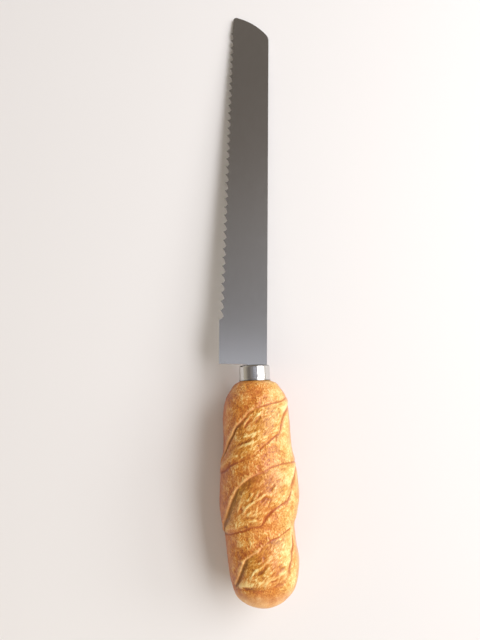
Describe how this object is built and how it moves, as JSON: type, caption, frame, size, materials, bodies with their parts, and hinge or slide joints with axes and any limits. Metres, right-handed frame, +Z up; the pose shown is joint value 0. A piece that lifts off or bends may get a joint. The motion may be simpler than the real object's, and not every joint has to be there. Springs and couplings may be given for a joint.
{
  "type": "bread knife",
  "caption": "Serrated bread knife: stamped steel blade, polished ferrule and a cast handle shaped and painted as a scored loaf.",
  "frame": {"origin": "middle of the flat sole under the loaf, on the surface the knife rests on, straight below the handle's axis", "axes": "+Z up, +Y along the handle's axis towards the blade's tip, +X towards the blade's spine"},
  "size_m": [0.0402, 0.3335, 0.0393],
  "materials": {
    "blade_steel": "satin, ground lengthwise",
    "ferrule_steel": "mirror polished",
    "painted_resin": "hand painted in crust browns under clear lacquer",
    "epoxy": "cured epoxy"
  },
  "bodies": {
    "root": {"blade": "blade_steel", "ferrule": "ferrule_steel", "handle": "painted_resin", "adhesive": "epoxy"}
  },
  "joints": []
}
